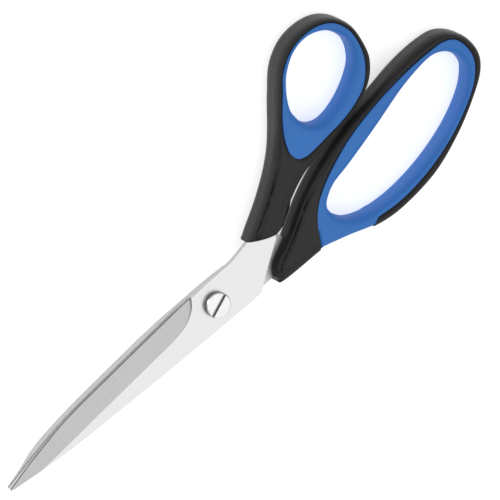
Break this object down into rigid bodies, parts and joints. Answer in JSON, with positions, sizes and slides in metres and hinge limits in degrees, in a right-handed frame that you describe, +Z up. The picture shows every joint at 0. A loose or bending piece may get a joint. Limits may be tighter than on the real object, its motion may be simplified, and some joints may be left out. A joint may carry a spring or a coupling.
{
  "type": "office scissors",
  "caption": "Right-handed 10 inch office scissors with stainless blades, a slotted pivot screw and black handles lined with blue soft grip, lying closed",
  "frame": {"origin": "middle of the closed outline, on the face that the handles lie on", "axes": "X runs from the blade tips to the bows, Y points to the thumb bow, Z is up"},
  "size_m": [0.2536, 0.0868, 0.0125],
  "materials": {
    "blade_steel": "ground stainless steel, brushed across the bevel",
    "screw_steel": "turned and nickel plated",
    "black_shell": "fine satin moulded plastic",
    "blue_grip": "matte soft-touch rubber",
    "washer_nylon": "natural nylon"
  },
  "bodies": {
    "finger_half": {"lower_blade": "blade_steel", "finger_handle": "black_shell", "finger_grip": "blue_grip", "pivot_screw": "screw_steel", "pivot_nut": "screw_steel", "friction_washer": "washer_nylon", "spring_washer": "screw_steel"},
    "thumb_half": {"upper_blade": "blade_steel", "thumb_handle": "black_shell", "thumb_grip": "blue_grip"}
  },
  "joints": [
    {"name": "blade_pivot", "type": "hinge", "parent": "finger_half", "child": "thumb_half", "pos_m": [-0.0173, -0.0233, 0.0063], "axis": [0, 0, 1], "range_deg": [0, 65]}
  ]
}
